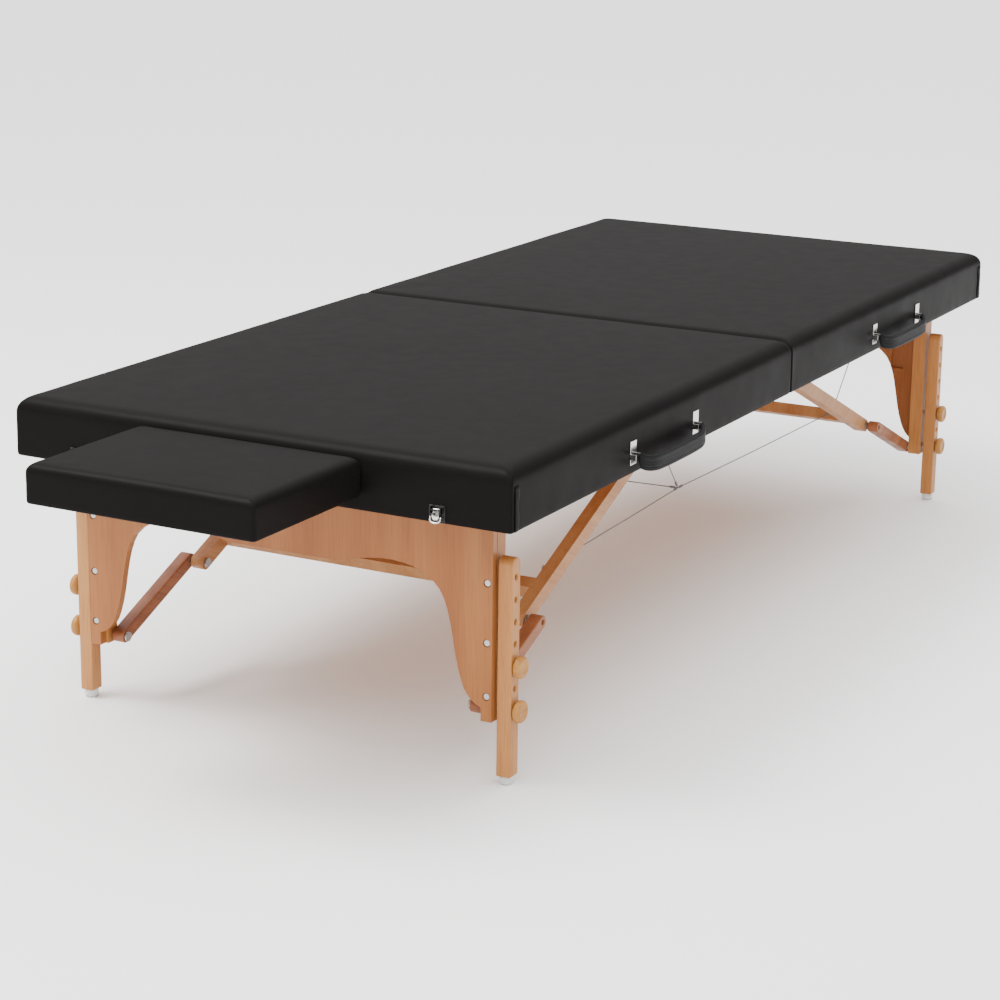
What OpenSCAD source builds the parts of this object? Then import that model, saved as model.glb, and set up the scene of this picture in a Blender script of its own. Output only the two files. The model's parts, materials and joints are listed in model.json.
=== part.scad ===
/* [Table top] */
// Length of the padded top, both halves together
table_l = 1854; // [1820:2:1900]
// Width of the padded top
table_w = 790; // [760:2:820]
// Height of the padded top above the floor, legs at their lowest stop
table_h = 462; // [456:1:470]
// Thickness of the padded top, from its underside to the vinyl
top_t = 86; // [84:1:92]
// Height of the hollow under the deck that the legs fold into
well_h = 40; // [40:1:42]
// Radius of the rounded upper edges
edge_r = 22; // [14:1:26]

/* [Legs] */
// Distance from each end of the top to the leg pivots
pivot_inset = 95; // [90:1:110]
// Side of the square uprights and of the sliding legs
leg_t = 22; // [20:1:22]
// Thickness of the arched end board
board_t = 11.4; // [10:0.2:11.4]
// Spacing of the height holes
hole_pitch = 31; // [28:1:32]
// Diameter of the clamping knobs
knob_d = 31; // [26:1:32]

/* [Braces] */
// Distance from the centre hinge to the upper brace pivots
brace_pivot_u = 130; // [110:1:150]
// Depth of a brace, seen from the side
brace_d = 22; // [18:1:22]
lower_brace_d = 19.5; // [17:0.5:22]
// Thickness of a brace across the table
brace_t = 20; // [16:1:20]

/* [Shelf] */
// How far the arm shelf stands out of the end of the table
shelf_l = 250; // [220:1:270]
// Width of the arm shelf
shelf_w = 352; // [300:1:380]
// Thickness of the arm shelf
shelf_t = 55; // [50:1:56]

/* [Hidden] */
$fn = 48;

vinyl = [0.09, 0.09, 0.10];
foam_colour = [0.86, 0.82, 0.68];
ply = [0.72, 0.50, 0.31];
beech = [0.77, 0.57, 0.40];
beech_dark = [0.62, 0.40, 0.25];
knob_wood = [0.75, 0.59, 0.36];
nickel = [0.78, 0.77, 0.75];
steel = [0.50, 0.52, 0.52];
webbing = [0.07, 0.07, 0.07];
clear_white = [0.88, 0.88, 0.86];

// Main levels and lengths. u is the distance from the centre hinge along the table.
half_l = table_l / 2;
side_y = table_w / 2;
under_z = table_h - top_t;
deck_z = under_z + well_h;
deck_t = 6;
skin = 2;
slip = 0.3;
seam_gap = 0.8;
rail_t = 20;
fold_gap = 2.8;
hinge_z = under_z - fold_gap;

// Leg frame, hung on its pivot
pivot_u = half_l - pivot_inset;
pivot_z = under_z + 23;
pivot_r = 4;
running = 0.05;
upright_y = side_y - 76;
leg_y = side_y - 50;
board_u = pivot_u + leg_t / 2;
board_y = side_y - 65.5;
board_low_z = 88;
board_top_z = under_z + 16;
leg_u = pivot_u + board_t / 2;
leg_top_z = 318;
foot_h = 12;
bolt_r = 3;
low_bolt_z = 105;
knob_t = 12;
knob_y = leg_y + leg_t / 2 + 1.5;
screw_heights = [281, 198, 123];

// Brace linkage. Folded, the upper brace lies level under the deck and the knee is past the
// leg's lower pivot, which sets both lengths from the two pivots.
upper_y = side_y - 125;
lower_y = side_y - 99;
leg_pin_inset = 4;
leg_pin_u = pivot_u - leg_pin_inset;
leg_pin_z = 98;
brace_pivot_z = deck_z - brace_d / 2 - 0.5;
folded_reach = pivot_u - (pivot_z - leg_pin_z) - brace_pivot_u;
folded_rise = brace_pivot_z - pivot_z - leg_pin_inset;
brace_run = leg_pin_u - brace_pivot_u;
brace_drop = brace_pivot_z - leg_pin_z;
brace_span = sqrt(brace_run * brace_run + brace_drop * brace_drop);
upper_l = (brace_span * brace_span - folded_reach * folded_reach - folded_rise * folded_rise)
          / (2 * (brace_span - folded_reach));
lower_l = brace_span - upper_l;
brace_slope = atan2(brace_drop, brace_run);
crossbar_s = upper_l - 66;
eye_s = upper_l - 110;
eye_y = upper_y - brace_t / 2 - 7;

// Arm shelf
shelf_gap = 6;
shelf_low_z = under_z + 21;
shelf_end = half_l + shelf_gap + shelf_l;
shelf_board_t = 16;
rod_y = 90;
rod_z = shelf_low_z + 7;
rod_r = 5;

// Carrying handles and latches on the outside
handle_u = half_l / 2 + 7;
handle_span = 104;
handle_pin_out = 6;
handle_pin_z = under_z + 26;
handle_out = 30;
latch_y = side_y - 108;
latch_pin_out = 5;
latch_pin_z = under_z + 19;
catch_out = 6;
bail_pin_out = 4.4;
bail_pin_z = under_z + 10;

// Steel cables
cable_r = 1;
junction = [4, side_y - 187, 198];
eye_u = brace_pivot_u + eye_s * cos(brace_slope);
eye_z = brace_pivot_z - eye_s * sin(brace_slope);
deck_eye_u = 164;
rail_eye_u = 730;

// The origin is below the middle of the whole table, with its shelf, handles and catches.
shift_x = (shelf_end - half_l - catch_out) / 2;
shift_y = handle_out / 2;

module place() {
  translate([shift_x, shift_y, 0]) children();
}

// Far half as drawn, near half mirrored across the centre hinge
module far_half() {
  place() children();
}
module near_half() {
  place() mirror([1, 0, 0]) children();
}

// Things are drawn on the +Y side and repeated on the other one.
module both_sides() {
  for (flip = [0, 1]) mirror([0, flip, 0]) children();
}

module x_bar(x0, x1, y, z, r) {
  translate([x0, y, z]) rotate([0, 90, 0]) cylinder(h = x1 - x0, r = r);
}
module y_bar(y0, y1, x, z, r) {
  translate([x, y0, z]) rotate([-90, 0, 0]) cylinder(h = y1 - y0, r = r);
}

// Rectangle from low left to high right with its two upper corners rounded
module round_top(x0, x1, z0, z1, r) {
  translate([x0, z0]) square([x1 - x0, z1 - r - z0]);
  translate([x0 + r, z0]) square([x1 - x0 - 2 * r, z1 - z0]);
  for (x = [x0 + r, x1 - r]) translate([x, z1 - r]) circle(r = r);
}

// Block with rounded upper edges, between two x and to both sides of y = 0
module soft_block(x0, x1, y1, z0, z1, r) {
  intersection() {
    translate([0, y1, 0]) rotate([90, 0, 0]) linear_extrude(2 * y1) round_top(x0, x1, z0, z1, r);
    translate([x0, 0, 0]) rotate([90, 0, 90]) linear_extrude(x1 - x0) round_top(-y1, y1, z0, z1, r);
  }
}

/* Padded top */

// Vinyl skin, turned under as a lip. It stops short of the hinges at the seam, and the near
// one is cut round the shelf's rods.
module cover(bored) {
  lip_w = 20;
  color(vinyl) {
    difference() {
      soft_block(seam_gap, half_l, side_y, under_z, table_h, edge_r);
      translate([0, 0, -1])
        soft_block(seam_gap + skin, half_l - skin, side_y - skin, under_z - 1, table_h - skin + 1,
                   edge_r - skin);
      translate([0, -side_y + skin + lip_w, under_z - 1])
        cube([seam_gap + skin + 1, 2 * (side_y - skin - lip_w), skin + 1 + slip]);
      if (bored) both_sides() x_bar(half_l - skin - 1, half_l + 1, rod_y, rod_z, rod_r + slip);
    }
    difference() {
      translate([seam_gap + skin, -side_y + skin, under_z])
        cube([half_l - 2 * skin - seam_gap, 2 * (side_y - skin), skin]);
      translate([0, -side_y + skin + lip_w, under_z - 1])
        cube([half_l - skin - lip_w, 2 * (side_y - skin - lip_w), skin + 2]);
    }
  }
}

module foam() {
  foam_z = deck_z + deck_t + slip;
  color(foam_colour) intersection() {
    soft_block(seam_gap + skin + slip, half_l - skin - slip, side_y - skin - slip,
               foam_z, table_h - skin - slip, edge_r - skin - slip);
    translate([0, -side_y, foam_z]) cube([half_l, 2 * side_y, top_t]);
  }
}

module deck() {
  color(ply)
    translate([seam_gap + skin, -side_y + skin, deck_z])
      cube([half_l - 2 * skin - seam_gap, 2 * (side_y - skin), deck_t]);
}

module side_rails() {
  rail_l = half_l - skin - seam_gap - skin;
  color(beech) both_sides()
    translate([seam_gap + skin, side_y - skin - rail_t, under_z + skin])
      cube([rail_l, rail_t, well_h - skin]);
}

// Rails across the table: one at the centre hinge and one at the end. The near end rail
// has the two bored outlets that the shelf's rods slide in.
module cross_rails(bored) {
  rail_y = side_y - skin - rail_t;
  end_u = half_l - skin - rail_t;
  color(beech) {
    translate([seam_gap + skin, -rail_y, under_z + skin])
      cube([rail_t, 2 * rail_y, well_h - skin]);
    difference() {
      translate([end_u, -rail_y, under_z + skin]) cube([rail_t, 2 * rail_y, well_h - skin]);
      if (bored) both_sides() x_bar(end_u - 1, half_l, rod_y, rod_z, rod_r + running);
    }
  }
}

/* Brackets on the underside */

// Eye screw hanging from the deck, ring in the plane across the table
module deck_eye(u, y) {
  ring_z = deck_z - 18;
  translate([u, y, ring_z + 3]) cylinder(h = deck_z - ring_z - 3, r = 1.5, $fn = 24);
  translate([u, y, ring_z]) rotate([90, 0, 0])
    rotate_extrude($fn = 32) translate([3.4, 0]) circle(r = 1, $fn = 16);
}

module pivot_brackets() {
  block_l = 36;
  block_y = upright_y + leg_t / 2 + 1.5;
  rail_y = side_y - skin - rail_t;
  cheek_t = 3;
  cheek_in = upper_y - brace_t / 2 - 2 - cheek_t;
  cheek_out = upper_y + brace_t / 2 + 1;
  color(steel) both_sides() {
    // leg pivot: bolt with its head on the inner side
    y_bar(upright_y - leg_t / 2 - 1, rail_y, pivot_u, pivot_z, pivot_r);
    y_bar(upright_y - leg_t / 2 - 5, upright_y - leg_t / 2 - 1, pivot_u, pivot_z, 7);
    // upper brace pivot: pin between two cheeks
    y_bar(cheek_in, cheek_out + cheek_t, brace_pivot_u, brace_pivot_z, pivot_r);
    for (y = [cheek_in, cheek_out])
      translate([brace_pivot_u - 16, y, brace_pivot_z - 12])
        cube([32, cheek_t, deck_z - brace_pivot_z + 12]);
  }
  color(beech) both_sides() difference() {
    translate([pivot_u - block_l / 2, block_y, under_z + skin])
      cube([block_l, rail_y - block_y, well_h - skin]);
    y_bar(block_y - 1, rail_y + 1, pivot_u, pivot_z, pivot_r);
  }
}

module hinge_positions() {
  for (y = [-300, 0, 300]) translate([0, y, 0]) children();
}

// One leaf of the three centre hinges. Knuckles alternate along the pin.
module hinge_leaf(first, pin) {
  leaf_w = 20;
  leaf_t = 1.5;
  knuckle_l = 16;
  knuckles = 5;
  barrel_r = 2.6;
  pin_r = 1.3;
  hinge_l = knuckle_l * knuckles;
  color(steel) hinge_positions() {
    difference() {
      union() {
        translate([seam_gap, -hinge_l / 2, under_z + skin - leaf_t])
          cube([leaf_w, hinge_l, leaf_t]);
        for (i = [first : 2 : knuckles - 1]) {
          y0 = i * knuckle_l - hinge_l / 2 + 0.2;
          y_bar(y0, y0 + knuckle_l - 0.4, 0, hinge_z, barrel_r);
          translate([0, y0, hinge_z]) cube([seam_gap + 1.4, knuckle_l - 0.4, fold_gap + skin]);
        }
      }
      y_bar(-hinge_l, hinge_l, 0, hinge_z, pin ? pin_r : pin_r + running);
      // clear the other leaf's knuckles
      for (i = [1 - first : 2 : knuckles - 1]) {
        y0 = i * knuckle_l - hinge_l / 2 - 0.2;
        y_bar(y0, y0 + knuckle_l + 0.4, 0, hinge_z, barrel_r + 0.5);
      }
    }
    if (pin) y_bar(-hinge_l / 2, hinge_l / 2, 0, hinge_z, pin_r);
  }
}

/* Handles */

module handle_brackets() {
  plate_w = 18;
  plate_h = 34;
  plate_t = 1.5;
  ear_t = 2;
  color(nickel) for (end = [-1, 1]) translate([handle_u + end * handle_span, -side_y, 0]) {
    translate([-plate_w / 2, -plate_t, handle_pin_z - 12]) cube([plate_w, plate_t, plate_h]);
    for (x = [-plate_w / 2, plate_w / 2 - ear_t])
      translate([x, -handle_pin_out - 4, handle_pin_z - 4]) cube([ear_t, handle_pin_out + 4 - plate_t, 8]);
    x_bar(-plate_w / 2, plate_w / 2, -handle_pin_out, handle_pin_z, 1.5);
  }
}

// Padded strap. Its two ends are loops round the bracket pins.
module handle() {
  loop_w = 12;
  loop_r = 3.8;
  strap_h = 22;
  strap_t = 8;
  grip_l = 120;
  grip_z = under_z + 2;
  neck_l = 11;
  slab_t = 3;
  color(webbing) translate([handle_u, -side_y, 0]) difference() {
    union() {
      translate([-grip_l / 2, -handle_out, grip_z]) cube([grip_l, strap_t, strap_h]);
      for (end = [0, 1]) mirror([end, 0, 0]) {
        x_bar(handle_span - loop_w / 2, handle_span + loop_w / 2, -handle_pin_out, handle_pin_z, loop_r);
        // neck that passes between the bracket's ears
        translate([handle_span - loop_w / 2, -handle_pin_out - neck_l - 2, handle_pin_z - 10])
          cube([loop_w, neck_l, 12]);
        hull() {
          translate([grip_l / 2 - 1, -handle_out, grip_z]) cube([1, strap_t, strap_h]);
          translate([handle_span - loop_w / 2, -handle_pin_out - neck_l - 2, handle_pin_z - 10])
            cube([loop_w, slab_t, 12]);
        }
      }
    }
    x_bar(-handle_span - loop_w, handle_span + loop_w, -handle_pin_out, handle_pin_z, 1.5 + running);
  }
}

/* Draw latches on the near end, catches on the far end */

module latch_bases() {
  plate_w = 24;
  ear_t = 1.5;
  color(nickel) both_sides() translate([half_l, latch_y, 0]) {
    translate([0, -plate_w / 2, under_z + 1.5]) cube([1.6, plate_w, 23]);
    for (y = [-8.5, 8.5 - ear_t])
      translate([1.6, y, latch_pin_z - 5]) cube([latch_pin_out + 1.4, ear_t, 9]);
    y_bar(-8.5, 8.5, latch_pin_out, latch_pin_z, 1.25);
  }
}

module latch_lever() {
  w = 6.5;
  color(nickel) translate([half_l, 0, 0]) difference() {
    union() {
      y_bar(-w, w, latch_pin_out, latch_pin_z, 3);
      translate([latch_pin_out + 1.4, -w, bail_pin_z - 4])
        cube([1.6, 2 * w, latch_pin_z - bail_pin_z + 4]);
      translate([bail_pin_out - 1.8, -w, bail_pin_z - 2]) cube([4, 2 * w, 4]);
    }
    y_bar(-w - 1, w + 1, latch_pin_out, latch_pin_z, 1.25 + running);
    y_bar(-w - 1, w + 1, bail_pin_out, bail_pin_z, 1 + running);
  }
}

// Loop that pulls the catch. Its two short pins turn in the lever.
module latch_bail() {
  arm_y = 7.2;
  arm_t = 1.8;
  color(nickel) translate([half_l, 0, 0]) both_sides() {
    y_bar(3, arm_y, bail_pin_out, bail_pin_z, 1);
    translate([bail_pin_out - 1, arm_y, bail_pin_z - 8.5]) cube([2, arm_t, 9.5]);
    translate([bail_pin_out - 1, 0, bail_pin_z - 8.5]) cube([2, arm_y + arm_t, 2]);
  }
}

module latch_catches() {
  color(nickel) both_sides() translate([half_l, latch_y, 0]) {
    translate([0, -12, under_z + 1.5]) cube([1.6, 24, 20]);
    translate([0, -6, under_z + 9]) cube([catch_out, 12, 1.6]);
    translate([catch_out - 1.5, -6, under_z + 9]) cube([1.5, 12, 5]);
  }
}

/* Leg frame */

function curve(a, b, c, d, steps) = [for (i = [1 : steps]) let (t = i / steps, s = 1 - t)
  s * s * s * a + 3 * s * s * t * b + 3 * s * t * t * c + t * t * t * d];

// Lower edge of the end board from the middle out: a flat stretch, a shallow rise,
// the leg's inner curve and the toe.
arch = concat(
  [[0, 277], [92, 277]],
  curve([92, 277], [140, 294], [215, 304], [249, 262], 10),
  curve([249, 262], [270, 232], [268, 180], [283, 140], 8),
  curve([283, 140], [289, 122], [298, 112], [313, 107], 5),
  [[313, board_low_z]]);

// Arched board. A shallow relief behind each leg lets the knee swing past as the legs fold.
module end_board() {
  relief_d = 4;
  relief_w = brace_t + 3;
  outline = concat(arch, [[board_y, board_low_z], [board_y, board_top_z], [0, board_top_z]]);
  color(ply) difference() {
    translate([board_u, 0, 0]) both_sides()
      rotate([90, 0, 90]) linear_extrude(board_t) polygon(outline);
    both_sides() for (z = screw_heights) {
      x_bar(board_u - 1, board_u + board_t + 1, upright_y + 2, z, 2.5);
      x_bar(board_u + board_t - 4, board_u + board_t + 1, upright_y + 2, z, 5.5);
    }
    both_sides() translate([board_u - 1, upper_y - relief_w / 2, 243])
      cube([relief_d + 1, relief_w, 39]);
  }
}

module uprights() {
  color(beech) both_sides() difference() {
    union() {
      translate([pivot_u - leg_t / 2, upright_y - leg_t / 2, board_low_z])
        cube([leg_t, leg_t, pivot_z - board_low_z]);
      y_bar(upright_y - leg_t / 2, upright_y + leg_t / 2, pivot_u, pivot_z, leg_t / 2);
    }
    y_bar(0, side_y, pivot_u, pivot_z, pivot_r + running);
    y_bar(upright_y - leg_t, upright_y, leg_pin_u, leg_pin_z, pivot_r);
    for (step = [0, 2])
      y_bar(upright_y - 4, side_y, leg_u, low_bolt_z + step * hole_pitch, bolt_r);
    for (z = screw_heights) x_bar(board_u - 16, board_u + 1, upright_y + 2, z, 2.5);
  }
}

module board_screws() {
  color(nickel) both_sides() for (z = screw_heights) {
    x_bar(board_u - 16, board_u + board_t - 4, upright_y + 2, z, 2.5);
    x_bar(board_u + board_t - 4, board_u + board_t - 1.5, upright_y + 2, z, 4.2);
  }
}

// Bolts that the sliding legs are clamped on, and the lower brace pins
module leg_bolts() {
  brace_in = lower_y - brace_t / 2;
  color(steel) both_sides() {
    for (step = [0, 2])
      y_bar(upright_y - 4, knob_y + knob_t - 5, leg_u, low_bolt_z + step * hole_pitch, bolt_r);
    y_bar(brace_in - 0.8, upright_y, leg_pin_u, leg_pin_z, pivot_r);
    y_bar(brace_in - 3.8, brace_in - 0.8, leg_pin_u, leg_pin_z, 7);
  }
}

// Sliding leg. Round holes at the height stops, joined by a slot for the bolts to pass.
module sliding_leg() {
  top_r = leg_t / 2;
  slot_r = bolt_r + slip;
  last_hole = low_bolt_z + 6 * hole_pitch;
  color(beech) difference() {
    union() {
      translate([leg_u - leg_t / 2, leg_y - leg_t / 2, foot_h])
        cube([leg_t, leg_t, leg_top_z - top_r - foot_h]);
      y_bar(leg_y - leg_t / 2, leg_y + leg_t / 2, leg_u, leg_top_z - top_r, top_r);
    }
    for (step = [0 : 6])
      y_bar(leg_y - leg_t, leg_y + leg_t, leg_u, low_bolt_z + step * hole_pitch, slot_r + 0.9);
    translate([leg_u - slot_r, leg_y - leg_t, low_bolt_z])
      cube([2 * slot_r, 2 * leg_t, last_hole - low_bolt_z]);
    translate([leg_u, leg_y, foot_h - 1]) cylinder(h = 16, r = 5);
  }
}

// Round glide with a plug that fills the bore in the end of the leg
module foot() {
  color(clear_white) translate([leg_u, leg_y, 0]) {
    rotate_extrude() polygon([[0, 0], [8.6, 0], [9.6, 1], [10, 3], [10, foot_h], [0, foot_h]]);
    translate([0, 0, foot_h]) cylinder(h = 15, r = 5);
  }
}

// Turned wooden knob on the end of a leg bolt
module knob(step) {
  r = knob_d / 2;
  color(knob_wood) translate([leg_u, knob_y, low_bolt_z + step * hole_pitch]) rotate([-90, 0, 0])
    difference() {
      rotate_extrude() polygon([[0, 0], [r - 2.5, 0], [r - 0.8, 0.8], [r, 2.5], [r, knob_t - 3.5],
                                [r - 1, knob_t - 1.2], [r - 3, knob_t], [0, knob_t]]);
      translate([0, 0, -1]) cylinder(h = knob_t - 3, r = bolt_r + running);
    }
}

/* Braces */

// Frame of the straight brace line: origin at the upper pivot, x down along the braces
module brace_line() {
  translate([brace_pivot_u, 0, brace_pivot_z]) rotate([0, brace_slope, 0]) children();
}

// Bar with round ends that reach past its two holes
module brace_bar(s0, s1, y, d) {
  r = d / 2;
  translate([s0, y - brace_t / 2, -r]) cube([s1 - s0, brace_t, d]);
  for (s = [s0, s1]) y_bar(y - brace_t / 2, y + brace_t / 2, s, 0, r);
}

module upper_braces() {
  color(beech) brace_line() {
    both_sides() difference() {
      brace_bar(0, upper_l, upper_y, brace_d);
      y_bar(0, side_y, 0, 0, pivot_r + running);
      y_bar(0, side_y, upper_l, 0, pivot_r);
      y_bar(eye_y, upper_y, eye_s, 0, 1.5);
    }
    translate([crossbar_s - brace_d / 2, -upper_y + brace_t / 2, -brace_t / 2])
      cube([brace_d, 2 * upper_y - brace_t, brace_t]);
  }
}

// Knee bolts through the upper braces and the eyes that the cables hook into
module knee_hardware() {
  brace_in = upper_y - brace_t / 2;
  color(steel) brace_line() both_sides() {
    y_bar(brace_in, upper_y + brace_t / 2 + 3, upper_l, 0, pivot_r);
    y_bar(brace_in - 4, brace_in, upper_l, 0, 7);
    y_bar(upper_y + brace_t / 2, upper_y + brace_t / 2 + 3, upper_l, 0, 7);
    y_bar(eye_y + 1, upper_y, eye_s, 0, 1.5);
    translate([eye_s, eye_y, 0]) rotate([90, 0, 0])
      rotate_extrude($fn = 32) translate([3.6, 0]) circle(r = 1.1, $fn = 16);
    translate([eye_s - 3, eye_y, -1.5]) cube([6, 2, 3]);
  }
}

module lower_braces() {
  color(beech_dark) brace_line() both_sides() difference() {
    brace_bar(upper_l, upper_l + lower_l, lower_y, lower_brace_d);
    y_bar(0, side_y, upper_l + lower_l, 0, pivot_r + running);
    y_bar(0, side_y, upper_l, 0, pivot_r);
  }
}

/* Cables */

module strand(a, b) {
  v = b - a;
  l = norm(v);
  translate(a) rotate([0, acos(v.z / l), atan2(v.y, v.x)]) cylinder(h = l, r = cable_r, $fn = 16);
}

module crimp(a, b, at) {
  v = b - a;
  p = a + v * at / norm(v);
  translate(p) rotate([0, acos(v.z / norm(v)), atan2(v.y, v.x)])
    cylinder(h = 9, r = 2 * cable_r, $fn = 24);
}

// Hook end just inside the eye on the upper brace
hook = [eye_u - 6, eye_y, eye_z];

// From each junction: to the knee, across to the other junction, and up to the deck
module cables_near() {
  deck_end = [deck_eye_u, junction.y, deck_z - 23.5];
  stay_top = [rail_eye_u, eye_y, deck_z - 23.5];
  stay_low = [eye_u + 2, eye_y, eye_z + 6];
  color(steel) {
    both_sides() {
      strand(hook, junction);
      strand(junction, deck_end);
      translate(junction) sphere(r = 2.5, $fn = 24);
      crimp(junction, hook, 6);
      crimp(hook, junction, 10);
    }
    strand([junction.x, -junction.y, junction.z], junction);
    strand(stay_low, stay_top);
    crimp(stay_top, stay_low, 40);
    crimp(stay_top, stay_low, 90);
  }
  color(steel) {
    both_sides() deck_eye(deck_eye_u, junction.y);
    deck_eye(rail_eye_u, eye_y);
  }
}

module cables_far() {
  far_junction = [1, junction.y, junction.z];
  stay_top = [rail_eye_u, -eye_y, deck_z - 23.5];
  stay_low = [eye_u + 2, -eye_y, eye_z + 6];
  color(steel) {
    both_sides() {
      strand(hook, far_junction);
      crimp(far_junction, hook, 6);
      crimp(hook, far_junction, 10);
    }
    strand(stay_low, stay_top);
    crimp(stay_top, stay_low, 40);
    crimp(stay_top, stay_low, 90);
  }
  color(steel) deck_eye(rail_eye_u, -eye_y);
}

/* Arm shelf */

module shelf_pad() {
  x0 = half_l + shelf_gap;
  color(vinyl) difference() {
    soft_block(x0, shelf_end, shelf_w / 2, shelf_low_z, shelf_low_z + shelf_t, 16);
    translate([x0 + 4, -shelf_w / 2 + 4, shelf_low_z - 1])
      cube([shelf_l - 8, shelf_w - 8, shelf_board_t + 1]);
    both_sides() x_bar(x0 - 1, x0 + 5, rod_y, rod_z, rod_r + slip);
  }
}

module shelf_board() {
  x0 = half_l + shelf_gap + 4;
  color(ply) difference() {
    translate([x0, -shelf_w / 2 + 4, shelf_low_z]) cube([shelf_l - 8, shelf_w - 8, shelf_board_t]);
    both_sides() x_bar(x0 - 1, x0 + 200, rod_y, rod_z, rod_r);
  }
}

module shelf_rods() {
  color(steel) both_sides() x_bar(half_l - 190, half_l + shelf_gap + 204, rod_y, rod_z, rod_r);
}

near_half() cover(true);  // cover_near
far_half() cover(false);  // cover_far
near_half() foam();  // foam_near
far_half() foam();  // foam_far
near_half() deck();  // deck_near
far_half() deck();  // deck_far
near_half() side_rails();  // side_rails_near
far_half() side_rails();  // side_rails_far
near_half() cross_rails(true);  // cross_rails_near
far_half() cross_rails(false);  // cross_rails_far
near_half() pivot_brackets();  // pivot_brackets_near
far_half() pivot_brackets();  // pivot_brackets_far
near_half() handle_brackets();  // handle_brackets_near
far_half() handle_brackets();  // handle_brackets_far
near_half() hinge_leaf(0, true);  // hinge_leaf_near
far_half() hinge_leaf(1, false);  // hinge_leaf_far
near_half() latch_bases();
far_half() latch_catches();
near_half() translate([0, -latch_y, 0]) latch_lever();  // latch_lever_right
near_half() translate([0, latch_y, 0]) latch_lever();  // latch_lever_left
near_half() translate([0, -latch_y, 0]) latch_bail();  // latch_bail_right
near_half() translate([0, latch_y, 0]) latch_bail();  // latch_bail_left
near_half() handle();  // handle_near
far_half() handle();  // handle_far
near_half() end_board();  // end_board_near
far_half() end_board();  // end_board_far
near_half() uprights();  // uprights_near
far_half() uprights();  // uprights_far
near_half() board_screws();  // board_screws_near
far_half() board_screws();  // board_screws_far
near_half() leg_bolts();  // leg_bolts_near
far_half() leg_bolts();  // leg_bolts_far
near_half() mirror([0, 1, 0]) sliding_leg();  // leg_near_right
near_half() sliding_leg();  // leg_near_left
far_half() mirror([0, 1, 0]) sliding_leg();  // leg_far_right
far_half() sliding_leg();  // leg_far_left
near_half() mirror([0, 1, 0]) foot();  // foot_near_right
near_half() foot();  // foot_near_left
far_half() mirror([0, 1, 0]) foot();  // foot_far_right
far_half() foot();  // foot_far_left
near_half() mirror([0, 1, 0]) knob(2);  // knob_near_right_upper
near_half() mirror([0, 1, 0]) knob(0);  // knob_near_right_lower
near_half() knob(2);  // knob_near_left_upper
near_half() knob(0);  // knob_near_left_lower
far_half() mirror([0, 1, 0]) knob(2);  // knob_far_right_upper
far_half() mirror([0, 1, 0]) knob(0);  // knob_far_right_lower
far_half() knob(2);  // knob_far_left_upper
far_half() knob(0);  // knob_far_left_lower
near_half() lower_braces();  // lower_braces_near
far_half() lower_braces();  // lower_braces_far
near_half() upper_braces();  // upper_braces_near
far_half() upper_braces();  // upper_braces_far
near_half() knee_hardware();  // knee_hardware_near
far_half() knee_hardware();  // knee_hardware_far
near_half() cables_near();
far_half() cables_far();
near_half() shelf_pad();
near_half() shelf_board();
near_half() shelf_rods();
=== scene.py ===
"""Looks of a low portable massage table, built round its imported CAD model.

Sizes are in metres, in the model's own frame: X along the table, Z up. Places are worked out
from the CAD boxes. u is the distance from the centre hinge, and side is -1 on the near half
and 1 on the far half.
"""

import json
import math

import bmesh
import bpy
import numpy as np
from mathutils import Matrix, Vector, noise


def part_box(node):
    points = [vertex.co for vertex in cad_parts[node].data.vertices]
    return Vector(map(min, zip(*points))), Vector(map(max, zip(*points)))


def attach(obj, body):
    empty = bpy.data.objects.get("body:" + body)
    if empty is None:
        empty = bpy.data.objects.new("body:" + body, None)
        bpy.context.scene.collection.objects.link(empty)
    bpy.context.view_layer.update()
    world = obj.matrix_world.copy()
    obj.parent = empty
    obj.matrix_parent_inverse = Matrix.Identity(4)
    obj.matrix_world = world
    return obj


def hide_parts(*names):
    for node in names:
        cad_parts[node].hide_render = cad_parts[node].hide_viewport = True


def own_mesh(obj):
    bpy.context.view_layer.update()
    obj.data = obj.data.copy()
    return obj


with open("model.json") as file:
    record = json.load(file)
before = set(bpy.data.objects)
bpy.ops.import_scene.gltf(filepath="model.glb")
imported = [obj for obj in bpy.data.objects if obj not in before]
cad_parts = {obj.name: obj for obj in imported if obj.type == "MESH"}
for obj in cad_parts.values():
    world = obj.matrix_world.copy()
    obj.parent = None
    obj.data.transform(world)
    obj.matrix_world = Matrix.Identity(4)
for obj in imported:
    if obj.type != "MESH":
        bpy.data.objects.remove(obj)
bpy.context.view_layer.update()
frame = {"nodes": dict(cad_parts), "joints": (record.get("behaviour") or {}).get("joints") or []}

SIDES = {"near": -1, "far": 1}
HANDS = {"right": -1, "left": 1}
near_box, far_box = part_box("cover_near"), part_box("cover_far")
CENTRE_X = (near_box[1].x + far_box[0].x) / 2
CENTRE_Y = (near_box[0].y + near_box[1].y) / 2
UNDER_Z, TOP_Z = near_box[0].z, near_box[1].z
SIDE_Y = near_box[1].y - CENTRE_Y
HALF_L = far_box[1].x - CENTRE_X
JOINTS = {j["name"]: j for j in frame["joints"]}
BRACE_SLOPE = math.radians(JOINTS["upper_brace_fold_near"]["range_deg"][1])


def place(side, u, y, z):
    return Vector((CENTRE_X + side * u, CENTRE_Y + y, z))


# ---------------------------------------------------------------- materials


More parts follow.
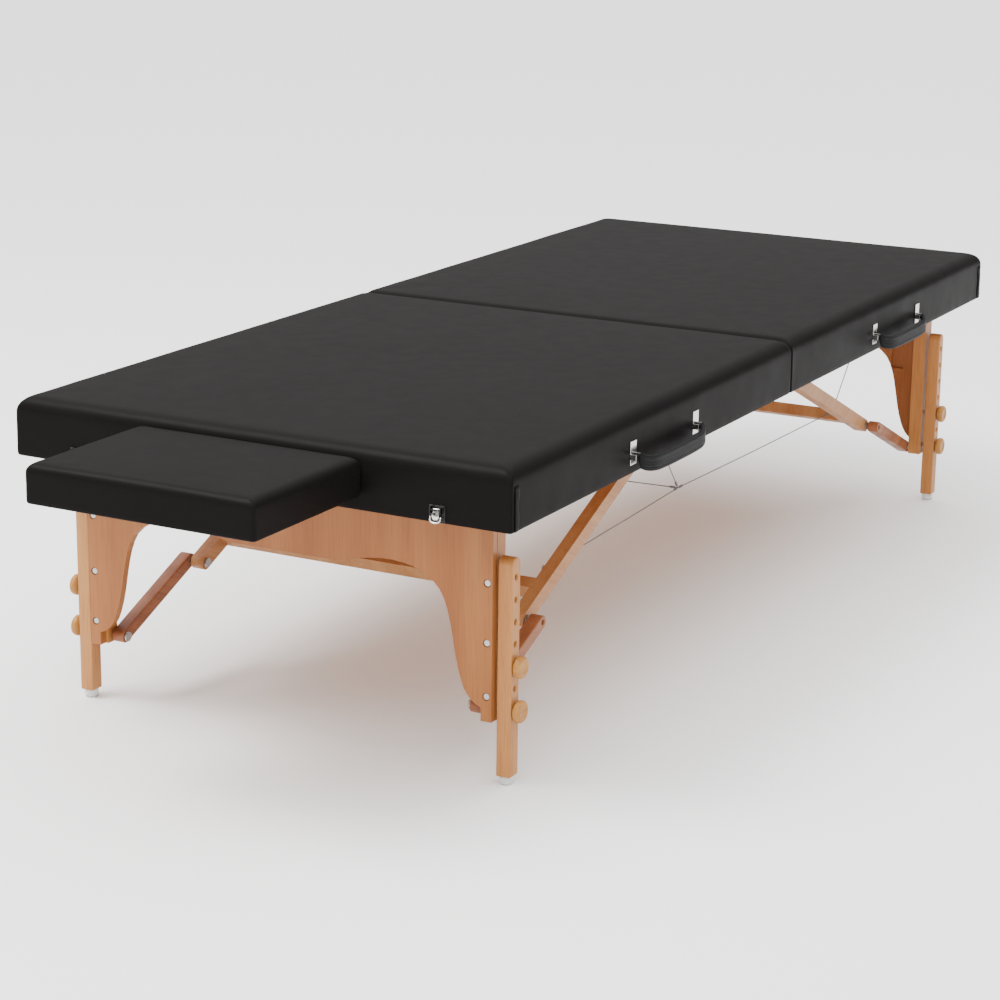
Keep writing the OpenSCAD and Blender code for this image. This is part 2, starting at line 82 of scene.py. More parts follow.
class Shader:
    """A material with its Principled shader, and short calls that add nodes to it."""

    def __init__(self, name, colour, roughness, metallic=0.0, specular=0.5):
        self.material = bpy.data.materials.new(name)
        self.material.use_nodes = True
        self.tree = self.material.node_tree
        self.out = self.tree.nodes["Principled BSDF"]
        self.set("Base Color", (*colour, 1))
        self.set("Roughness", roughness)
        self.set("Metallic", metallic)
        self.set("Specular IOR Level", specular)
        self.coords = self.node("ShaderNodeTexCoord")

    def set(self, socket, value):
        self.out.inputs[socket].default_value = value

    def node(self, kind, inputs=(), **settings):
        made = self.tree.nodes.new(kind)
        for key, value in settings.items():
            setattr(made, key, value)
        for key, value in dict(inputs).items():
            if isinstance(value, bpy.types.NodeSocket):
                self.tree.links.new(value, made.inputs[key])
            else:
                made.inputs[key].default_value = value
        return made

    def link(self, source, socket):
        self.tree.links.new(source, self.out.inputs[socket])

    def stretched(self, scale, turn=(0, 0, 0)):
        """Object coordinates turned and then scaled."""
        turned = self.node("ShaderNodeMapping", {0: self.coords.outputs["Object"], "Rotation": turn})
        return self.node("ShaderNodeMapping", {0: turned.outputs[0], "Scale": scale}).outputs[0]

    def noise(self, vector, scale, detail=3.0, rough=0.5):
        return self.node("ShaderNodeTexNoise", {"Vector": vector, "Scale": scale, "Detail": detail,
                                                "Roughness": rough}).outputs["Fac"]

    def ramp(self, fac, stops):
        made = self.node("ShaderNodeValToRGB", {0: fac})
        ramp = made.color_ramp
        while len(ramp.elements) < len(stops):
            ramp.elements.new(0.5)
        for element, (at, colour) in zip(ramp.elements, stops):
            element.position = at
            element.color = (*colour, 1)
        return made.outputs[0]

    def remap(self, fac, low, high, from_low=0.3, from_high=0.7):
        return self.node("ShaderNodeMapRange", {0: fac, 1: from_low, 2: from_high, 3: low,
                                                4: high}).outputs[0]

    def mix(self, fac, first, second, how="MIX"):
        made = self.node("ShaderNodeMix", data_type="RGBA", blend_type=how)
        for index, value in ((0, fac), (6, first), (7, second)):
            if isinstance(value, bpy.types.NodeSocket):
                self.tree.links.new(value, made.inputs[index])
            else:
                made.inputs[index].default_value = value if index == 0 else (*value, 1)
        return made.outputs[2]

    def math(self, how, first, second=0.0):
        return self.node("ShaderNodeMath", {0: first, 1: second}, operation=how).outputs[0]

    def bump(self, height, strength, depth, after=None):
        inputs = {"Height": height, "Strength": strength, "Distance": depth}
        if after is not None:
            inputs["Normal"] = after
        made = self.node("ShaderNodeBump", inputs).outputs[0]
        self.link(made, "Normal")
        return made


def darker(colour, share):
    return tuple(c * share for c in colour)


def vinyl():
    """Black upholstery vinyl: fine pebbled grain, soft gloss that varies a little."""
    s = Shader("vinyl", (0.006, 0.005, 0.005), 0.38, specular=0.024)
    plain = s.coords.outputs["Object"]
    cloudy = s.noise(plain, 5.0, 2.0)
    s.link(s.mix(cloudy, (0.0056, 0.0047, 0.0045), (0.0072, 0.0062, 0.006)), "Base Color")
    s.link(s.remap(s.noise(plain, 30.0), 0.36, 0.4), "Roughness")
    pebble = s.node("ShaderNodeTexVoronoi", {"Vector": plain, "Scale": 620.0}).outputs["Distance"]
    grain = s.bump(pebble, 0.22, 0.00025)
    s.bump(s.noise(plain, 24.0, 2.0), 0.12, 0.002, after=grain)
    return s.material


def wood(name, light, dark, along, turn=(0, 0, 0), rough=0.42, band=34.0):
    """Varnished solid wood: grain along one axis, broad tone bands, fine pores."""
    s = Shader(name, light, rough, specular=0.28)
    scale = [1.0, 1.0, 1.0]
    scale["XYZ".index(along)] = 0.045
    grain = s.stretched(scale, turn)
    bands = s.noise(grain, band, 4.0, 0.55)
    fibre = s.noise(grain, 420.0, 2.0, 0.6)
    middle = tuple((a + b) / 2 for a, b in zip(light, dark))
    tone = s.ramp(bands, [(0.32, dark), (0.5, middle), (0.68, light)])
    pores = s.ramp(fibre, [(0.36, (0.72, 0.66, 0.6)), (0.5, (1, 1, 1))])
    s.link(s.mix(0.5, tone, pores, "MULTIPLY"), "Base Color")
    s.link(s.remap(bands, rough + 0.06, rough - 0.06), "Roughness")
    s.bump(fibre, 0.1, 0.0004)
    s.set("Coat Weight", 0.05)
    s.set("Coat Roughness", 0.25)
    return s.material


def plywood(name, light, dark, along, across, ply=0.0016):
    """Veneered board: long grain on its two faces, and its plies on every edge."""
    s = Shader(name, light, 0.4, specular=0.28)
    scale = [1.0, 1.0, 1.0]
    scale["XYZ".index(along)] = 0.035
    grain = s.stretched(scale)
    bands = s.noise(grain, 22.0, 5.0, 0.6)
    fibre = s.noise(grain, 380.0, 2.0, 0.6)
    middle = tuple((a + b) / 2 for a, b in zip(light, dark))
    tone = s.ramp(bands, [(0.3, dark), (0.5, middle), (0.7, light)])
    pores = s.ramp(fibre, [(0.36, (0.75, 0.68, 0.6)), (0.52, (1, 1, 1))])
    face = s.mix(0.5, tone, pores, "MULTIPLY")
    axis = "XYZ".index(across)
    place_in = s.node("ShaderNodeSeparateXYZ", {0: s.coords.outputs["Object"]}).outputs[axis]
    facing = s.node("ShaderNodeSeparateXYZ", {0: s.coords.outputs["Normal"]}).outputs[axis]
    stripe = s.math("GREATER_THAN", s.math("FRACT", s.math("DIVIDE", place_in, 2 * ply)), 0.5)
    plies = s.mix(stripe, darker(dark, 0.8), tuple(min(1.0, c * 1.25) for c in light))
    edge = s.math("LESS_THAN", s.math("ABSOLUTE", facing), 0.6)
    s.link(s.mix(edge, face, plies), "Base Color")
    s.link(s.remap(bands, 0.46, 0.34), "Roughness")
    s.bump(fibre, 0.08, 0.0004)
    s.set("Coat Weight", 0.05)
    s.set("Coat Roughness", 0.2)
    return s.material


def metal(name, colour, rough, scratch=0.04):
    """Plated steel with faint brushing and uneven gloss."""
    s = Shader(name, colour, rough, metallic=1.0)
    brushed = s.noise(s.stretched((1, 1, 0.08)), 900.0, 2.0)
    s.link(s.remap(brushed, rough - scratch, rough + scratch), "Roughness")
    cloudy = s.noise(s.coords.outputs["Object"], 60.0)
    s.link(s.mix(cloudy, darker(colour, 0.82), colour), "Base Color")
    s.bump(brushed, 0.04, 0.0002)
    return s.material


def cable_steel():
    """Galvanised wire rope: grey, with painted shade for the darker lays between the strands."""
    s = Shader("cable_steel", (0.2, 0.21, 0.21), 0.42, metallic=0.85)
    painted_lay_shade = s.noise(s.coords.outputs["Object"], 700.0)
    # painted shade: the fine noise darkens the grey where its bump is low, standing for the shaded
    # lays; it also sets the roughness and the bump
    s.link(s.mix(painted_lay_shade, (0.1, 0.105, 0.105), (0.33, 0.34, 0.34)), "Base Color")
    s.link(s.remap(painted_lay_shade, 0.5, 0.34), "Roughness")
    s.bump(painted_lay_shade, 0.2, 0.0002)
    return s.material


def strap_vinyl():
    """Padded carrying strap: tight black weave with a soft sheen."""
    s = Shader("strap", (0.008, 0.008, 0.009), 0.45, specular=0.12)
    warp = s.node("ShaderNodeTexWave", {"Vector": s.coords.outputs["Object"], "Scale": 260.0,
                                        "Distortion": 1.0}, bands_direction="X").outputs["Fac"]
    weft = s.node("ShaderNodeTexWave", {"Vector": s.coords.outputs["Object"], "Scale": 260.0,
                                        "Distortion": 1.0}, bands_direction="Z").outputs["Fac"]
    weave = s.math("MULTIPLY", warp, weft)
    s.link(s.mix(weave, (0.004, 0.004, 0.0045), (0.011, 0.011, 0.012)), "Base Color")
    s.link(s.remap(weave, 0.6, 0.42, 0.0, 1.0), "Roughness")
    s.bump(weave, 0.25, 0.0003)
    return s.material


def thread():
    s = Shader("thread", (0.03, 0.03, 0.032), 0.6)
    twist = s.node("ShaderNodeTexWave", {"Vector": s.coords.outputs["Object"], "Scale": 900.0},
                   bands_direction="DIAGONAL").outputs["Fac"]
    s.link(s.mix(twist, (0.018, 0.018, 0.02), (0.05, 0.05, 0.052)), "Base Color")
    s.bump(twist, 0.4, 0.0002)
    return s.material


def clear_plastic():
    """Slightly cloudy white glide."""
    s = Shader("clear_plastic", (0.82, 0.83, 0.82), 0.26)
    s.set("Subsurface Weight", 0.25)
    s.set("Subsurface Radius", (0.004, 0.004, 0.004))
    s.set("Transmission Weight", 0.25)
    cloudy = s.noise(s.coords.outputs["Object"], 160.0)
    s.link(s.mix(cloudy, (0.7, 0.72, 0.71), (0.87, 0.88, 0.87)), "Base Color")
    s.link(s.remap(cloudy, 0.2, 0.34), "Roughness")
    return s.material


# light and dark tone of each wood
BOARD = ((0.35, 0.128, 0.03), (0.27, 0.086, 0.018))
LEG = ((0.47, 0.21, 0.06), (0.39, 0.15, 0.038))
BRACE = ((0.5, 0.25, 0.1), (0.39, 0.165, 0.06))
RED = ((0.33, 0.12, 0.05), (0.22, 0.072, 0.03))
KNOB = ((0.45, 0.21, 0.045), (0.35, 0.14, 0.028))
NICKEL = (0.74, 0.71, 0.68)
STEEL = (0.46, 0.46, 0.46)

MATERIALS = {
    "vinyl": vinyl(),
    "board": plywood("board", *BOARD, along="Z", across="X"),
    "deck": plywood("deck", *BRACE, along="X", across="Z"),
    "leg": wood("leg", *LEG, along="Z"),
    "rail": wood("rail", *BRACE, along="X"),
    "cross_rail": wood("cross_rail", *BRACE, along="Y"),
    "knob": wood("knob", *KNOB, along="X", band=90.0),
    "nickel": metal("nickel", NICKEL, 0.16),
    "steel": metal("steel", STEEL, 0.34, 0.08),
    "dark_plate": metal("dark_plate", (0.035, 0.034, 0.033), 0.4),
    "cable": cable_steel(),
    "strap": strap_vinyl(),
    "thread": thread(),
    "foot": clear_plastic(),
}
for half, side in SIDES.items():
    tilt = (0, side * BRACE_SLOPE, 0)
    MATERIALS["brace_" + half] = wood("brace_" + half, *BRACE, along="X", turn=tilt)
    MATERIALS["lower_brace_" + half] = wood("lower_brace_" + half, *RED, along="X", turn=tilt)


def dress(obj, *names):
    obj.data.materials.clear()
    for name in names:
        obj.data.materials.append(MATERIALS[name])


# ---------------------------------------------------------------- CAD nodes that stay


def ease_edges(obj, width):
    """Rounds a CAD node's edges with modifiers; its own mesh stays as it is."""
    weld = obj.modifiers.new("weld", "WELD")
    weld.merge_threshold = 0.00001
    bevel = obj.modifiers.new("eased_edges", "BEVEL")
    bevel.width = width
    bevel.segments = 2
    bevel.limit_method = "ANGLE"
    bevel.angle_limit = math.radians(40)
    bevel.harden_normals = True
    bevel.use_clamp_overlap = True


def dress_cad_nodes():
    looks = {
        "deck": ("deck", 0), "side_rails": ("rail", 0.001), "cross_rails": ("cross_rail", 0.001),
        "pivot_brackets": ("steel", 0.0004), "handle_brackets": ("nickel", 0.0005),
        "hinge_leaf": ("steel", 0.0003), "end_board": ("board", 0.0009),
        "uprights": ("leg", 0.0015), "board_screws": ("steel", 0.0003),
        "leg_bolts": ("steel", 0.0004), "knee_hardware": ("steel", 0.0004),
    }
    for part, (look, width) in looks.items():
        for half in SIDES:
            node = frame["nodes"][f"{part}_{half}"]
            dress(node, look)
            if width:
                ease_edges(node, width)
    for half in SIDES:
        upper = frame["nodes"]["upper_braces_" + half]
        dress(upper, "brace_" + half)
        ease_edges(upper, 0.002)
    for name, node in frame["nodes"].items():
        if name.startswith("latch"):
            dress(node, "dark_plate")
            ease_edges(node, 0.0005)
        elif name.startswith("foot"):
            dress(node, "foot")
            ease_edges(node, 0.0004)
    dress(frame["nodes"]["shelf_board"], "deck")
    dress(frame["nodes"]["shelf_rods"], "steel")
    ease_edges(frame["nodes"]["shelf_rods"], 0.0006)


# ---------------------------------------------------------------- pieces


def add_mesh(name, verts, faces, look, smooth=True):
    mesh = bpy.data.meshes.new(name)
    mesh.from_pydata([tuple(v) for v in verts], [], faces)
    mesh.validate()
    obj = bpy.data.objects.new(name, mesh)
    bpy.context.scene.collection.objects.link(obj)
    dress(obj, look)
    for polygon in mesh.polygons:
        polygon.use_smooth = smooth
    return obj


def tube_faces(rings, around):
    """Quads between successive rings of a tube, and a cap on each end."""
    faces = []
    for k in range(rings - 1):
        for s in range(around):
            a, b = k * around + s, k * around + (s + 1) % around
            faces.append((a, b, b + around, a + around))
    faces.append(tuple(range(around)))
    faces.append(tuple((rings - 1) * around + s for s in reversed(range(around))))
    return faces


def sheet_faces(columns, rows):
    """Faces of a curved sheet with a thickness: a front grid, a back grid and the rim."""
    size, last = columns * rows, columns - 1
    faces = []
    for k in range(rows - 1):
        for c in range(last):
            a = k * columns + c
            quad = (a, a + 1, a + columns + 1, a + columns)
            faces.append(quad)
            faces.append(tuple(size + q for q in reversed(quad)))
    rim = (list(range(columns)) + [k * columns + last for k in range(1, rows)]
           + [(rows - 1) * columns + c for c in range(last - 1, -1, -1)]
           + [k * columns for k in range(rows - 2, 0, -1)])
    for a, b in zip(rim, rim[1:] + rim[:1]):
        faces.append((a, b, size + b, size + a))
    return faces


def apply_modifiers(obj):
    graph = bpy.context.evaluated_depsgraph_get()
    mesh = bpy.data.meshes.new_from_object(obj.evaluated_get(graph))
    obj.modifiers.clear()
    obj.data = mesh


def joined(name, objs):
    """One object from several, in world coordinates."""
    bm = bmesh.new()
    for obj in objs:
        part = obj.data.copy()
        part.transform(obj.matrix_world)
        bm.from_mesh(part)
        bpy.data.meshes.remove(part)
    mesh = bpy.data.meshes.new(name)
    bm.to_mesh(mesh)
    bm.free()
    made = bpy.data.objects.new(name, mesh)
    bpy.context.scene.collection.objects.link(made)
    for material in objs[0].data.materials:
        mesh.materials.append(material)
    for obj in objs:
        bpy.data.objects.remove(obj)
    return made


# ---------------------------------------------------------------- upholstered pads


def smooth_step(t):
    t = min(1.0, max(0.0, t))
    return t * t * (3 - 2 * t)


class Pad:
    """Upholstered block: rings from the turned-under lip up over the rounded edge, then a grid.

    seam is the X direction (-1 or 1) of a side that meets another pad and has a tighter
    edge, or 0. Lengths of the grid's cells are near cell.
    """

    lip = 0.02
    hem = 0.003
    ring_gap = 0.009
    inner_margin = 0.008
    arc_steps = 7

    def __init__(self, low, high, edge_r, corner_r, seam, seam_r, cell):
        self.low, self.high = low, high
        self.edge_r, self.corner_r = edge_r, corner_r
        self.seam, self.seam_r = seam, seam_r
        self.xs = self.stations(high.x - low.x, cell)
        self.ys = self.stations(high.y - low.y, cell)
        self.cols, self.rows = len(self.xs) - 1, len(self.ys) - 1

    @staticmethod
    def stations(length, cell):
        """Shares of a side, crowded towards both ends so that the corners stay crisp."""
        ends = [0.0, 0.0016, 0.0034, 0.006, 0.0105]
        count = max(3, round((length - 2 * ends[-1]) / cell))
        step = (length - 2 * ends[-1]) / count
        middle = [ends[-1] + step * k for k in range(1, count)]
        places = ends + middle + [length - e for e in reversed(ends)]
        return [at / length for at in places]

    def levels(self):
        """(height above the underside or None, inset, arc angle or None) of each ring."""
        bottom = [(0.0, self.lip, None), (0.0, 0.011, None), (0.0, 0.0035, None),
                  (0.0008, 0.0009, None), (self.hem, 0.0, None)]
        wall = self.high.z - self.low.z - self.edge_r - self.hem
        count = max(3, round(wall / self.ring_gap))
        side = [(self.hem + wall * i / count, 0.0, None) for i in range(1, count)]
        arc = [(None, None, math.pi / 2 * i / self.arc_steps) for i in range(self.arc_steps + 1)]
        return bottom + side + arc

    def perimeter(self):
        """Grid places round the outside, counterclockwise from above."""
        n, m = self.cols, self.rows
        return ([(i, 0) for i in range(n)] + [(n, j) for j in range(m)]
                + [(i, m) for i in range(n, 0, -1)] + [(0, j) for j in range(m, 0, -1)])

    def on_ring(self, i, j, insets, radius):
        """Plan place and outward direction of a perimeter grid place on one ring."""
        low_x, high_x = self.low.x + insets[-1], self.high.x - insets[1]
        low_y, high_y = self.low.y + insets[0], self.high.y - insets[0]
        x = low_x + (high_x - low_x) * self.xs[i]
        y = low_y + (high_y - low_y) * self.ys[j]
        qx = min(high_x - radius, max(low_x + radius, x))
        qy = min(high_y - radius, max(low_y + radius, y))
        away = Vector((x - qx, y - qy))
        if away.length < 1e-9:
            return x, y, Vector((0, 0))
        on_side = abs(away.x) < 1e-9 or abs(away.y) < 1e-9
        out = away.normalized()
        if on_side:
            return x, y, out
        return qx + out.x * radius, qy + out.y * radius, out

    def build(self, name, look):
        verts, faces = [], []
        loop = self.perimeter()
        wall = self.high.z - self.low.z
        for height, inset, angle in self.levels():
            if angle is None:
                insets = {-1: inset, 0: inset, 1: inset}
                drop = 0.0
            else:
                drop = 1 - math.cos(angle)
                insets = {k: (self.seam_r if k and k == self.seam else self.edge_r) * drop
                          for k in (-1, 0, 1)}
            radius = self.corner_r + 0.5 * self.edge_r * drop
            for i, j in loop:
                x, y, out = self.on_ring(i, j, insets, radius)
                tight = max(0.0, out.x * self.seam) ** 2 if self.seam else 0.0
                if angle is None:
                    z = self.low.z + height
                    if height > self.hem and tight:
                        reach = (wall - self.seam_r) / (wall - self.edge_r)
                        z = self.low.z + height * (1 + tight * (reach - 1))
                else:
                    r = self.edge_r + tight * (self.seam_r - self.edge_r)
                    z = self.high.z - r + r * math.sin(angle)
                verts.append(Vector((x, y, z)))
        count = len(loop)
        rings = len(verts) // count
        for ring in range(rings - 1):
            for k in range(count):
                a, b = ring * count + k, ring * count + (k + 1) % count
                faces.append((a, b, b + count, a + count))
        index = {}
        for k, (i, j) in enumerate(loop):
            index[i, j] = len(verts)
            verts.append(None)
        margin = self.inner_margin
        low_r = self.seam_r if self.seam == -1 else self.edge_r
        high_r = self.seam_r if self.seam == 1 else self.edge_r
        low_x, high_x = self.low.x + low_r + margin, self.high.x - high_r - margin
        low_y, high_y = self.low.y + self.edge_r + margin, self.high.y - self.edge_r - margin
        for i in range(self.cols + 1):
            for j in range(self.rows + 1):
                point = Vector((low_x + (high_x - low_x) * self.xs[i],
                                low_y + (high_y - low_y) * self.ys[j], self.high.z))
                if (i, j) in index:
                    verts[index[i, j]] = point
                else:
                    index[i, j] = len(verts)
                    verts.append(point)
        last = (rings - 1) * count
        for k in range(count):
            a, b = last + k, last + (k + 1) % count
            faces.append((a, b, index[loop[(k + 1) % count]], index[loop[k]]))
        for i in range(self.cols):
            for j in range(self.rows):
                faces.append((index[i, j], index[i + 1, j], index[i + 1, j + 1], index[i, j + 1]))
        return add_mesh(name, verts, faces, look)


def inflate(obj, held_below, pressure, most):
    """Cloth under pressure, held at its lower edge. The whole shape is scaled back so that
    no point has moved further than most."""
    last_frame = 20
    rest = np.array([v.co for v in obj.data.vertices])
    held = obj.vertex_groups.new(name="held")
    for v in obj.data.vertices:
        if v.co.z < held_below:
            held.add([v.index], 1.0, "REPLACE")
    cloth = obj.modifiers.new("cloth", "CLOTH")
    cloth.settings.quality = 6
    cloth.settings.mass = 0.4
    cloth.settings.tension_stiffness = 60
    cloth.settings.compression_stiffness = 60
    cloth.settings.shear_stiffness = 20
    cloth.settings.bending_stiffness = 4
    cloth.settings.air_damping = 8
    cloth.settings.vertex_group_mass = "held"
    cloth.settings.use_pressure = True
    cloth.settings.uniform_pressure_force = pressure
    cloth.settings.effector_weights.gravity = 0
    cloth.point_cache.frame_start = 1
    cloth.point_cache.frame_end = last_frame
    for step in range(1, last_frame + 1):
        bpy.context.scene.frame_set(step)
    apply_modifiers(obj)
    bpy.context.scene.frame_set(1)
    moved = np.array([v.co for v in obj.data.vertices]) - rest
    furthest = float(np.linalg.norm(moved, axis=1).max())
    share = min(1.0, most / max(furthest, 1e-9))
    obj.data.vertices.foreach_set("co", (rest + moved * share).astype(np.float32).ravel())
    obj.data.update()


def upholster(obj, low, high, seam, pucker):
    """Hand-upholstered unevenness: slow waves in the sides and edges, puckers above the hem."""
    height = high.z - low.z
    normals = [v.normal.copy() for v in obj.data.vertices]
    for v, out in zip(obj.data.vertices, normals):
        if seam and (v.co.x - (high.x if seam > 0 else low.x)) * seam > -0.004:
            continue
        level = (v.co.z - low.z) / height
        if level < 0.02:
            continue
        slow = noise.noise(v.co * 7.0) * 0.0011 + noise.noise(v.co * 19.0) * 0.0004
        flat = smooth_step((out.z - 0.6) / 0.4)
        along = v.co.x + v.co.y
        near_hem = smooth_step(1 - level / 0.42)
        fold = noise.noise(Vector((along * 38.0, v.co.z * 14.0, 3.0)))
        if flat < 0.1:
            # the walls stay clear of the rails behind them and of the handles before them
            slow = min(0.0007, max(slow, -0.0003))
        v.co += out * (slow * (1 - 0.72 * flat) + pucker * abs(fold) * near_hem * (1 - flat))
    obj.data.update()


def finish_pad(obj):
    """Gives the cover its thickness, and a finer surface."""
    shell = obj.modifiers.new("thickness", "SOLIDIFY")
    shell.thickness = 0.0016
    shell.offset = -1
    fine = obj.modifiers.new("fine", "SUBSURF")
    fine.levels = 1
    fine.render_levels = 1
    apply_modifiers(obj)
    for polygon in obj.data.polygons:
        polygon.use_smooth = True


def corner_folds(name, half, side):
    """Folded flaps of vinyl at the two outer corners of a half."""
    across, up = 5, 12
    wall_low, wall_top = UNDER_Z + 0.002, TOP_Z - 0.024
    fold_width, uneven, fold_t = 0.011, 0.0018, 0.0011
    corner_u, proud = HALF_L - 0.0075, 0.0002
    parts = []
    for hand in HANDS.values():
        verts = []
        for layer in (0.0, fold_t):
            for k in range(up + 1):
                z = wall_low + (wall_top - wall_low) * k / up
                width = fold_width + uneven * math.sin(k * 0.9 + hand)
                fade = smooth_step((wall_top - z) / 0.02)
                for c in range(across + 1):
                    t = c / across
                    rise = layer * (1 - smooth_step((t - 0.75) / 0.25) * 0.6)
                    y = hand * (SIDE_Y + proud + rise * fade)
                    verts.append(place(side, corner_u - width * t, y, z))
        parts.append(add_mesh("fold", verts, sheet_faces(across + 1, up + 1), "vinyl"))
    made = joined(name, parts)
    fix_normals(made)
    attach(made, f"{half}_half")


def fix_normals(obj):
    bm = bmesh.new()
    bm.from_mesh(obj.data)
    bmesh.ops.recalc_face_normals(bm, faces=bm.faces)
    bm.to_mesh(obj.data)
    bm.free()
    for polygon in obj.data.polygons:
        polygon.use_smooth = True


def make_table_pads():
    for half, side in SIDES.items():
        low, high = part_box("cover_" + half)
        shape = Pad(low, high, edge_r=0.022, corner_r=0.004, seam=-side, seam_r=0.016, cell=0.014)
        pad = shape.build("pad_" + half, "vinyl")
        inflate(pad, low.z + 0.045, 2.0, 0.0025)
        keep_clear_of_seam(pad, side)
        upholster(pad, low, high, -side, 0.0011)
        finish_pad(pad)
        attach(pad, f"{half}_half")
        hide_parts("cover_" + half, "foam_" + half)
        corner_folds(f"corner_folds_{half}", half, side)


def keep_clear_of_seam(pad, side):
    """The two pads meet at the centre without passing it."""
    limit = 0.0004
    for v in pad.data.vertices:
        if (v.co.x - CENTRE_X) * side < limit:
            v.co.x = CENTRE_X + side * limit


def make_shelf_pad():
    low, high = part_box("shelf_pad")
    shape = Pad(low, high, edge_r=0.013, corner_r=0.005, seam=0, seam_r=0.013, cell=0.01)
    pad = shape.build("arm_shelf_pad", "vinyl")
    inflate(pad, low.z + 0.02, 2.0, 0.002)
    upholster(pad, low, high, 0, 0.0006)
    finish_pad(pad)
    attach(pad, "shelf")
    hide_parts("shelf_pad")


# ---------------------------------------------------------------- carrying handles


def smooth_path(points, steps):
    """Catmull-Rom curve through points, with steps pieces between each two."""
    points = [Vector(p) for p in points]
    ends = [2 * points[0] - points[1]] + points + [2 * points[-1] - points[-2]]
    path = []
    for a, b, c, d in zip(ends, ends[1:], ends[2:], ends[3:]):
        for k in range(steps):
            t = k / steps
            path.append(0.5 * (2 * b + (c - a) * t + (2 * a - 5 * b + 4 * c - d) * t * t
                               + (3 * b - a - 3 * c + d) * t ** 3))
    return path + [points[-1]]


def make_handle(half):
    """Padded strap with two sewn channels, its ends looped round the bracket pins."""
    low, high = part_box("handle_" + half)
    pin = Vector(JOINTS["handle_swing_" + half]["pos_m"])
    middle_x = (low.x + high.x) / 2
    span = (high.x - low.x) / 2 - 0.006
    out = pin.y - low.y
    grip_half, grip_taper = 0.0114, 0.009
    grip_t, end_taper = 0.0042, 0.0016
    channel_depth, channel_at, channel_w = 0.0016, 0.4, 0.1
    sleeve_bore, sleeve_r, sleeve_half = 0.0016, 0.0031, 0.006
    # share of the span, distance out and height, from an end to the middle
    profile = [(1.0, 0.0022, -0.0006), (0.985, 0.0068, -0.0052), (0.9, out * 0.5, -0.0095),
               (0.72, out * 0.74, -0.0118), (0.4, out - 0.0046, -0.0126),
               (0.0, out - 0.0042, -0.0126)]
    points = [Vector((middle_x - span * x, pin.y - y, pin.z + z)) for x, y, z in profile]
    points += [Vector((2 * middle_x - p.x, p.y, p.z)) for p in reversed(points[:-1])]
    path = smooth_path(points, 8)
    section = 28
    verts = []
    for k, centre in enumerate(path):
        t = abs(2 * k / (len(path) - 1) - 1)
        ahead = path[min(k + 1, len(path) - 1)] - path[max(k - 1, 0)]
        ahead = Vector((ahead.x, ahead.y, 0)).normalized()
        outward = Vector((ahead.y, -ahead.x, 0))
        wide = grip_half - grip_taper * smooth_step((t - 0.8) / 0.17)
        thick = grip_t - end_taper * smooth_step((t - 0.74) / 0.2)
        for s in range(section):
            a = 2 * math.pi * s / section
            c, d = math.cos(a), math.sin(a)
            across = math.copysign(abs(c) ** 0.55, c)
            bulge = math.copysign(abs(d) ** 0.6, d)
            channel = channel_depth * math.exp(-((abs(across) - channel_at) / channel_w) ** 2)
            depth = (thick - channel * smooth_step((0.8 - t) / 0.1)) * bulge
            verts.append(centre + outward * depth + Vector((0, 0, wide * across)))
    strap = add_mesh("strap", verts, tube_faces(len(path), section), "strap")
    parts = [strap]
    for end in (-1, 1):
        centre = Vector((middle_x + end * span, pin.y, pin.z))
        parts.append(ring_sleeve(centre, sleeve_bore, sleeve_r, sleeve_half))
    grip = joined("handle_grip_" + half, parts)
    fix_normals(grip)
    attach(grip, "handle_" + half)
    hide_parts("handle_" + half)
    stitch_rows(half, path)


def ring_sleeve(centre, inner, outer, half_length):
    """Short tube along X with rounded rims."""
    rim = 0.0006
    outline = [(-half_length, inner), (-half_length, outer - rim), (-half_length + rim, outer),
               (half_length - rim, outer), (half_length, outer - rim), (half_length, inner)]
    turns = 24
    verts, faces = [], []
    for x, r in outline:
        for k in range(turns):
            a = 2 * math.pi * k / turns
            verts.append(centre + Vector((x, r * math.cos(a), r * math.sin(a))))
    for ring in range(len(outline)):
        after = (ring + 1) % len(outline)
        for k in range(turns):
            b = (k + 1) % turns
            faces.append((ring * turns + k, ring * turns + b, after * turns + b, after * turns + k))
    return add_mesh("sleeve", verts, faces, "strap")


def stitch_rows(half, path):
    """Thread along the two sewn channels, one short capsule to each stitch."""
    verts, faces = [], []
    end_pieces, stitched_share, thread_r = 6, 0.72, 0.00035
    proud, row_height = 0.0029, 0.0046
    for row in (-1, 1):
        for k in range(end_pieces, len(path) - end_pieces):
            here, there = path[k], path[k + 1]
            ahead = there - here
            flat = Vector((ahead.x, ahead.y, 0)).normalized()
            outward = Vector((flat.y, -flat.x, 0))
            t = abs(2 * k / (len(path) - 1) - 1)
            if t > stitched_share:
                continue
            lift = outward * proud + Vector((0, 0, row * row_height))
            for a, b in ((0.08, 0.42), (0.58, 0.92)):
                add_stitch(verts, faces, here + ahead * a + lift, here + ahead * b + lift, thread_r)
    stitches = add_mesh("handle_stitching_" + half, verts, faces, "thread")
    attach(stitches, "handle_" + half)


def add_stitch(verts, faces, start, end, r):
    """Six-sided bead with pointed ends from start to end."""
    ahead = (end - start).normalized()
    side_way = ahead.cross(Vector((0, 0, 1))).normalized()
    up = side_way.cross(ahead)
    base = len(verts)
    verts.append(start)
    for share in (0.25, 0.75):
        centre = start.lerp(end, share)
        for k in range(6):
            a = math.pi * k / 3
            verts.append(centre + side_way * (r * math.cos(a)) + up * (r * math.sin(a)))
    verts.append(end)
    for k in range(6):
        n = (k + 1) % 6
        faces.append((base, base + 1 + n, base + 1 + k))
        faces.append((base + 1 + k, base + 1 + n, base + 7 + n, base + 7 + k))
        faces.append((base + 7 + k, base + 7 + n, base + 13))


# ---------------------------------------------------------------- sliding legs


